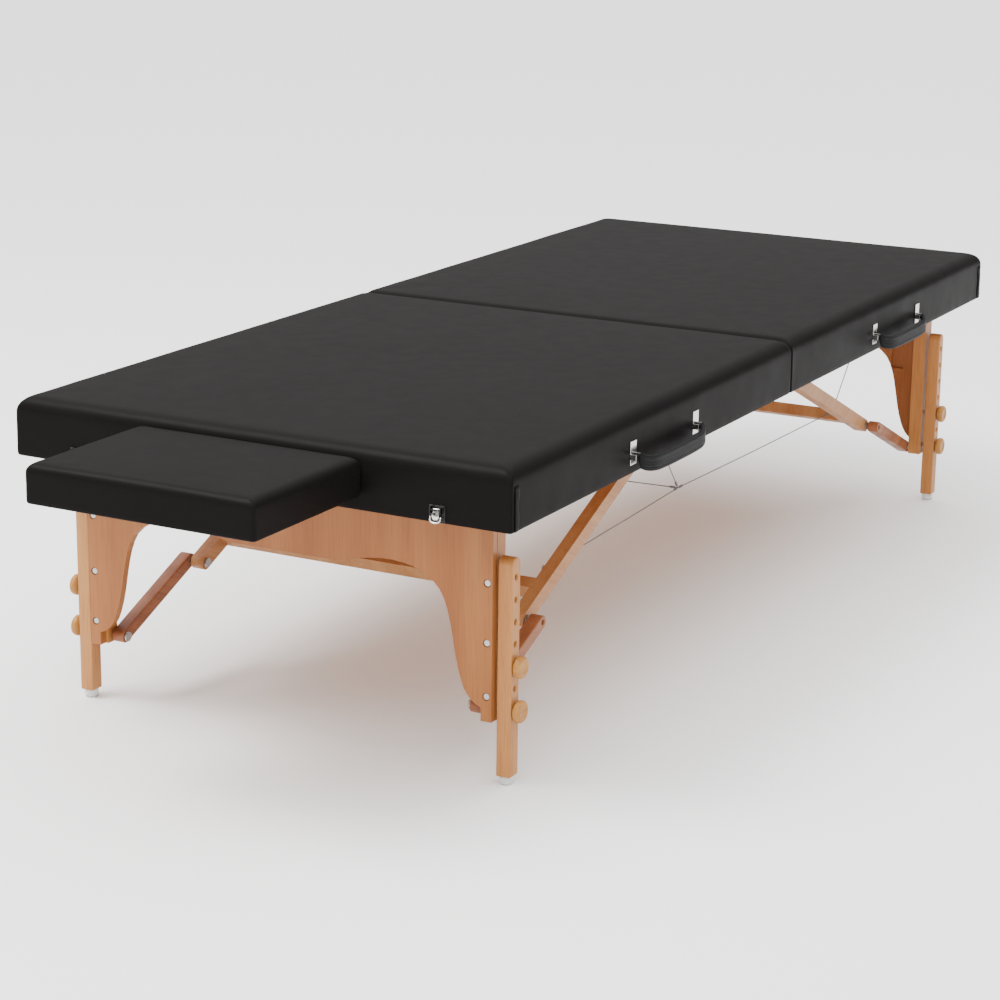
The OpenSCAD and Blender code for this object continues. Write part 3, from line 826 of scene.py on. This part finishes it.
def make_leg(half, hand):
    """Sliding leg with its row of round height holes, rounded top and eased edges."""
    node = f"leg_{half}_{hand}"
    low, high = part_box(node)
    lower_bolt = JOINTS[f"knob_turn_{half}_{hand}_lower"]["pos_m"]
    upper_bolt = JOINTS[f"knob_turn_{half}_{hand}_upper"]["pos_m"]
    pitch = (upper_bolt[2] - lower_bolt[2]) / 2
    middle_x = (low.x + high.x) / 2
    r = (high.x - low.x) / 2
    outline = Outline((middle_x - r, low.z), (middle_x + r, low.z))
    outline.arc((middle_x, high.z - r), r, 0, math.pi)
    holes = [(middle_x, lower_bolt[2] + k * pitch) for k in range(7)]
    leg = plate("wooden_" + node, outline, holes, 0.0042, low.y, high.y, "leg")
    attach(leg, f"sliding_leg_{half}_{hand}")
    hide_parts(node)


def make_lower_braces(half, side):
    """Pair of flat bars from the knee to the foot of the leg frame, with rounded ends."""
    low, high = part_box("lower_braces_" + half)
    knee_x, knee_z = place(side, KNEE[0], 0, KNEE[1]).xz
    foot = JOINTS["lower_brace_fold_" + half]["pos_m"]
    r = foot[2] - low.z
    along = math.atan2(foot[2] - knee_z, foot[0] - knee_x)
    outline = Outline()
    outline.arc((foot[0], foot[2]), r, along - math.pi / 2, along + math.pi / 2)
    outline.arc((knee_x, knee_z), r, along + math.pi / 2, along + math.pi * 3 / 2)
    bars = []
    for hand in HANDS.values():
        outer = SIDE_Y - (CENTRE_Y + SIDE_Y - high.y)
        edges = sorted((hand * outer, hand * (outer - 0.02)))
        bars.append(plate("bar", outline, [(foot[0], foot[2]), (knee_x, knee_z)], 0.004,
                          CENTRE_Y + edges[0], CENTRE_Y + edges[1], "lower_brace_" + half))
    made = joined("lower_brace_pair_" + half, bars)
    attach(made, "lower_braces_" + half)
    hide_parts("lower_braces_" + half)


class Outline:
    """Closed outline in the XZ plane, drawn counterclockwise."""

    def __init__(self, *points):
        self.points = list(points)

    def arc(self, centre, r, start, end, steps=20):
        for k in range(steps + 1):
            a = start + (end - start) * k / steps
            self.points.append((centre[0] + r * math.cos(a), centre[1] + r * math.sin(a)))


def shrunk(points, by):
    """Convex counterclockwise outline moved inward by the given distance."""
    made = []
    count = len(points)
    for k in range(count):
        before, here, after = (Vector(points[(k + d) % count]) for d in (-1, 0, 1))
        first, second = (here - before).normalized(), (after - here).normalized()
        n1, n2 = Vector((-first.y, first.x)), Vector((-second.y, second.x))
        bisector = (n1 + n2).normalized()
        made.append(here + bisector * (by / max(0.3, bisector.dot(n1))))
    return made


def plate(name, outline, holes, hole_r, y0, y1, look, ease=0.0018):
    """Flat part in the XZ plane between y0 and y1, with round holes and eased edges."""
    curve = bpy.data.curves.new(name, "CURVE")
    curve.dimensions = "2D"
    curve.fill_mode = "BOTH"
    curve.extrude = (y1 - y0) / 2 - ease
    curve.bevel_depth = ease
    curve.bevel_resolution = 3
    # the bevel grows outward, so the outline is drawn smaller and the holes larger by it
    add_spline(curve, shrunk(outline.points, ease))
    for x, z in holes:
        ring = Outline()
        ring.arc((x, z), hole_r + ease, 0, 2 * math.pi * 27 / 28, 27)
        add_spline(curve, ring.points)
    drawn = bpy.data.objects.new("drawn", curve)
    bpy.context.scene.collection.objects.link(drawn)
    drawn.matrix_world = (Matrix.Translation((0, (y0 + y1) / 2, 0))
                          @ Matrix.Rotation(math.pi / 2, 4, "X"))
    bpy.context.view_layer.update()
    graph = bpy.context.evaluated_depsgraph_get()
    mesh = bpy.data.meshes.new_from_object(drawn.evaluated_get(graph))
    mesh.transform(drawn.matrix_world)
    bpy.data.objects.remove(drawn)
    made = bpy.data.objects.new(name, mesh)
    bpy.context.scene.collection.objects.link(made)
    bm = bmesh.new()
    bm.from_mesh(mesh)
    bmesh.ops.remove_doubles(bm, verts=bm.verts, dist=0.00002)
    bmesh.ops.recalc_face_normals(bm, faces=bm.faces)
    bm.to_mesh(mesh)
    bm.free()
    mesh.set_sharp_from_angle(angle=math.radians(35))
    for polygon in mesh.polygons:
        polygon.use_smooth = True
    dress(made, look)
    return made


def add_spline(curve, points):
    spline = curve.splines.new("POLY")
    spline.points.add(len(points) - 1)
    for point, (x, z) in zip(spline.points, points):
        point.co = (x, z, 0, 1)
    spline.use_cyclic_u = True


def make_knob(half, hand, level):
    """Turned wooden knob: waisted neck, rounded rim and dished face."""
    node = f"knob_{half}_{hand}_{level}"
    low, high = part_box(node)
    out = HANDS[hand]
    r = (high.z - low.z) / 2
    length = high.y - low.y
    shares = ((0, 0.72), (0.12, 0.8), (0.2, 0.93), (0.34, 0.99), (0.5, 1), (0.7, 0.995), (0.86, 0.95),
              (0.96, 0.86), (1, 0.76), (1, 0.5), (0.95, 0.46), (0.93, 0.3), (0.93, 0.01))
    start = Vector(((low.x + high.x) / 2, low.y if out > 0 else high.y, (low.z + high.z) / 2))
    outline = [(length * at, r * wide) for at, wide in shares]
    knob = turned(start, (0, out, 0), outline, "knob", 48)
    knob.name = "turned_" + node
    fix_normals(knob)
    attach(knob, node)
    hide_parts(node)


# ---------------------------------------------------------------- latches


def make_latch(hand):
    """Bent wire bail and curled pressed lever of a toggle latch."""
    out = Vector((-1, 0, 0))
    wire_r = 0.0012
    low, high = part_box("latch_bail_" + hand)
    middle_y = (low.y + high.y) / 2
    pin = Vector(JOINTS["latch_bail_" + hand]["pos_m"])
    half_w, drop = (high.y - low.y) / 2 - wire_r, pin.z - low.z - wire_r
    points = []
    for k in range(13):
        a = math.pi * k / 12
        level = math.sin(a) ** 0.6
        points.append(Vector((pin.x, middle_y + half_w * math.cos(a), pin.z - drop * level))
                      + out * (wire_r + 0.0035 * level))
    bail = tube("latch_wire_" + hand, smooth_path(points, 3), wire_r, "nickel")
    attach(bail, "latch_bail_" + hand)
    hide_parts("latch_bail_" + hand)
    lever = lever_tongue("latch_tongue_" + hand, *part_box("latch_lever_" + hand), out)
    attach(lever, "latch_lever_" + hand)
    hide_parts("latch_lever_" + hand)


def lever_tongue(name, low, high, out):
    """Pressed tongue hanging from its pin: crowned across, curled outward, rounded below."""
    metal_t, crown_h, inset = 0.0011, 0.0009, 0.0012
    width, middle_y = (high.y - low.y) / 2 - inset, (low.y + high.y) / 2
    top_z = high.z - 0.001
    steps, across = 14, 9
    verts = []
    for layer in (0.0, metal_t):
        for k in range(steps + 1):
            t = k / steps
            z = top_z + (low.z - top_z) * t
            stand = 0.0014 * math.sin(math.pi * t) + 0.0042 * max(0.0, t - 0.4)
            round_end = math.sqrt(max(0.12, 1 - (max(0.0, t - 0.7) / 0.34) ** 2))
            for c in range(across):
                y = 2 * c / (across - 1) - 1
                bulge = crown_h * (1 - y * y)
                verts.append(Vector((high.x - inset, middle_y + width * y * round_end, z))
                             + out * (stand + layer + bulge))
    made = add_mesh(name, verts, sheet_faces(across, steps + 1), "nickel")
    fix_normals(made)
    return made


def tube(name, path, r, look, around=12):
    """Round bar along a path, its section carried along without twisting."""
    verts = []
    up = (path[1] - path[0]).orthogonal().normalized()
    for k, centre in enumerate(path):
        ahead = (path[min(k + 1, len(path) - 1)] - path[max(k - 1, 0)]).normalized()
        up = (up - ahead * up.dot(ahead)).normalized()
        side_way = ahead.cross(up)
        for s in range(around):
            a = 2 * math.pi * s / around
            verts.append(centre + up * (r * math.cos(a)) + side_way * (r * math.sin(a)))
    made = add_mesh(name, verts, tube_faces(len(path), around), look)
    fix_normals(made)
    return made


# ---------------------------------------------------------------- cables


CABLE_R = 0.001
LAY = 0.018
SAG, CROSS_SAG = 0.0012, 0.002
# (u, y, z) where the side, cross and deck cables meet
JUNCTION = (0.004, SIDE_Y - 0.187, 0.198)
EYE_Y = SIDE_Y - 0.142
near_lower_low, near_lower_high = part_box("lower_braces_near")
lower_pin = JOINTS["lower_brace_fold_near"]["pos_m"]
reach, drop = math.cos(BRACE_SLOPE), math.sin(BRACE_SLOPE)
brace_r = lower_pin[2] - near_lower_low.z
lower_length = (near_lower_high.x - near_lower_low.x - 2 * brace_r) / reach
KNEE = (CENTRE_X - lower_pin[0] - lower_length * reach, lower_pin[2] + lower_length * drop)
# the cable eye is on the upper brace, short of the knee
EYE_TO_KNEE = 0.11
EYE_U, EYE_Z = KNEE[0] - EYE_TO_KNEE * reach, KNEE[1] + EYE_TO_KNEE * drop
DECK_EYE_U = 0.164
RAIL_EYE_U = 0.73
CABLE_TOP_Z = UNDER_Z + 0.0165


def wire_rope(start, end, sag=0.0):
    """Six-strand rope from start to end: a lobed section that twists along its length."""
    start, end = Vector(start), Vector(end)
    length = (end - start).length
    ahead = (end - start).normalized()
    side_way = ahead.cross(Vector((0.1, 0.2, 1))).normalized()
    up = side_way.cross(ahead)
    rings = max(4, round(length / 0.0035))
    around = 12
    verts = []
    for k in range(rings + 1):
        t = k / rings
        centre = start.lerp(end, t) - Vector((0, 0, 4 * sag * t * (1 - t)))
        twist = length * t * 2 * math.pi / LAY
        for s in range(around):
            a = 2 * math.pi * s / around
            r = CABLE_R * (1.0 if s % 2 else 0.78)
            verts.append(centre + side_way * (r * math.cos(a + twist)) + up * (r * math.sin(a + twist)))
    return add_mesh("rope", verts, tube_faces(rings + 1, around), "cable")


def turned(start, ahead, outline, look, around=20):
    """Solid turned about the line from start along ahead: outline is (distance, radius)."""
    start, ahead = Vector(start), Vector(ahead).normalized()
    side_way = ahead.cross(Vector((0.1, 0.2, 1))).normalized()
    up = side_way.cross(ahead)
    verts = []
    for at, r in outline:
        for s in range(around):
            a = 2 * math.pi * s / around
            verts.append(start + ahead * at + side_way * (r * math.cos(a)) + up * (r * math.sin(a)))
    return add_mesh("turned", verts, tube_faces(len(outline), around), look)


def crimp_sleeve(start, end, at):
    """Swaged sleeve on a cable, with two pressed waists."""
    ahead = (Vector(end) - Vector(start)).normalized()
    outline = [(0, 0.0012), (0.0004, 0.0019), (0.0026, 0.002), (0.0034, 0.0016), (0.0044, 0.002),
               (0.0052, 0.002), (0.0062, 0.0016), (0.007, 0.002), (0.0092, 0.0019), (0.0096, 0.0012)]
    return turned(Vector(start) + ahead * at, ahead, outline, "cable")


def eye_screw(side, u, y):
    """Screw eye under the deck: threaded shank, collar and ring."""
    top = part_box("deck_near")[0].z
    ring_r, wire_r = 0.0034, 0.001
    thread_r, core_r, collar_r = 0.0016, 0.0012, 0.0024
    collar_t, thread_pitch = 0.0008, 0.0018
    ring_z, stem_low = top - 0.018, 0.0032
    centre = place(side, u, y, ring_z)
    length = top - ring_z - stem_low
    shank = [(0, thread_r)]
    for k in range(7):
        z = 0.002 + thread_pitch * k
        shank += [(z, core_r), (z + thread_pitch / 2, thread_r)]
    shank = [(z, r) for z, r in shank if z < length - 0.0002]
    shank += [(length, collar_r), (length + collar_t, collar_r)]
    stem = turned(centre + Vector((0, 0, stem_low)), (0, 0, 1), shank, "steel")
    return joined("eye", [stem, wire_ring(centre, Vector((0, 1, 0)), ring_r, wire_r)])


def wire_ring(centre, axis, r, wire):
    """Closed ring of round wire about an axis."""
    verts, faces = [], []
    axis = axis.normalized()
    first = axis.orthogonal().normalized()
    second = axis.cross(first)
    around, thick = 32, 12
    for k in range(around):
        a = 2 * math.pi * k / around
        out = first * math.cos(a) + second * math.sin(a)
        for s in range(thick):
            b = 2 * math.pi * s / thick
            verts.append(centre + out * (r + wire * math.cos(b)) + axis * (wire * math.sin(b)))
    for k in range(around):
        for s in range(thick):
            n, m = (k + 1) % around, (s + 1) % thick
            faces.append((k * thick + s, k * thick + m, n * thick + m, n * thick + s))
    return add_mesh("ring", verts, faces, "steel")


def make_cables():
    """Cables of each half, run from the braces up under the deck, and their eyes."""
    for half, side in SIDES.items():
        ropes, eyes = [], []
        for hand in HANDS.values():
            hook = place(side, EYE_U - 0.006, hand * EYE_Y, EYE_Z)
            node = place(-1, JUNCTION[0], hand * JUNCTION[1], JUNCTION[2])
            ropes += [wire_rope(hook, node, SAG), crimp_sleeve(hook, node, 0.01),
                      crimp_sleeve(node, hook, 0.006)]
            if half == "near":
                top = place(-1, DECK_EYE_U, hand * JUNCTION[1], CABLE_TOP_Z)
                ropes += [wire_rope(node, top), crimp_sleeve(node, top, 0.005),
                          crimp_sleeve(top, node, 0.012),
                          wire_ring(node, Vector((0.3, 0.2, 1)), 0.0022, 0.0009)]
                eyes.append(eye_screw(-1, DECK_EYE_U, hand * JUNCTION[1]))
        if half == "near":
            left = place(-1, JUNCTION[0], JUNCTION[1], JUNCTION[2])
            right = place(-1, JUNCTION[0], -JUNCTION[1], JUNCTION[2])
            ropes += [wire_rope(right, left, CROSS_SAG), crimp_sleeve(right, left, 0.005),
                      crimp_sleeve(left, right, 0.005)]
        stay_hand = -side
        low = place(side, EYE_U + 0.002, stay_hand * EYE_Y, EYE_Z + 0.006)
        top = place(side, RAIL_EYE_U, stay_hand * EYE_Y, CABLE_TOP_Z)
        ropes += [wire_rope(low, top), crimp_sleeve(top, low, 0.04), crimp_sleeve(top, low, 0.09)]
        eyes.append(eye_screw(side, RAIL_EYE_U, stay_hand * EYE_Y))
        rope = joined("cables_rope_" + half, ropes)
        fix_normals(rope)
        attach(rope, f"{half}_half")
        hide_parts("cables_" + half)
        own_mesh(rope)
        fixed = joined("cable_eyes_" + half, eyes)
        fix_normals(fixed)
        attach(fixed, f"{half}_half")


# ---------------------------------------------------------------- stage


def make_stage():
    """Pale floor, a soft light overhead, a wide fill in front and a sky that darkens downward."""
    bpy.ops.mesh.primitive_plane_add(size=80, location=(0, 0, -0.0005))
    floor = bpy.context.object
    floor.name = "floor"
    s = Shader("floor_paper", (0.93, 0.93, 0.93), 0.9, specular=0.1)
    floor.data.materials.append(s.material)
    world = bpy.data.worlds.new("studio")
    world.use_nodes = True
    sky = world.node_tree.nodes
    links = world.node_tree.links
    height = sky.new("ShaderNodeSeparateXYZ")
    links.new(sky.new("ShaderNodeTexCoord").outputs["Generated"], height.inputs[0])
    shade = sky.new("ShaderNodeValToRGB")
    shade.color_ramp.elements[0].color = (0.1, 0.1, 0.1, 1)
    shade.color_ramp.elements[1].color = (1, 1, 1, 1)
    shade.color_ramp.elements[1].position = 0.8
    shade.color_ramp.elements.new(0.4).color = (0.24, 0.24, 0.24, 1)
    links.new(height.outputs["Z"], shade.inputs[0])
    links.new(shade.outputs[0], sky["Background"].inputs["Color"])
    sky["Background"].inputs["Strength"].default_value = 3.3
    bpy.context.scene.world = world
    lamps = (("overhead", (-1.7, 1.7, 3.6), 1.8, 190), ("front", (-4.2, -2.2, 3.0), 3.0, 60))
    for name, location, size, power in lamps:
        light = bpy.data.lights.new(name, "AREA")
        light.size = size
        light.energy = power
        lamp = bpy.data.objects.new(name, light)
        lamp.location = location
        aim = Vector((0, 0, 0.3)) - Vector(location)
        lamp.rotation_mode = "QUATERNION"
        lamp.rotation_quaternion = aim.to_track_quat("-Z", "Y")
        bpy.context.scene.collection.objects.link(lamp)


def make_camera():
    """Seen from the near right corner, a little above the top, with a long lens."""
    location = Vector((-3.5978, -1.8664, 1.2960))
    target = Vector((-0.1169, 0.0057, 0.2056))
    roll = math.radians(0.695)
    data = bpy.data.cameras.new("camera")
    data.lens = 93.645
    data.sensor_width = 36
    camera = bpy.data.objects.new("camera", data)
    camera.rotation_mode = "QUATERNION"
    camera.location = location
    aimed = (target - location).to_track_quat("-Z", "Y")
    camera.rotation_quaternion = aimed @ Matrix.Rotation(roll, 3, "Z").to_quaternion()
    bpy.context.scene.collection.objects.link(camera)
    bpy.context.scene.camera = camera


make_camera()
dress_cad_nodes()
make_table_pads()
make_shelf_pad()
for half, side in SIDES.items():
    make_handle(half)
    make_lower_braces(half, side)
    for hand in HANDS:
        make_leg(half, hand)
        for level in ("upper", "lower"):
            make_knob(half, hand, level)
for hand in HANDS:
    make_latch(hand)
make_cables()
make_stage()
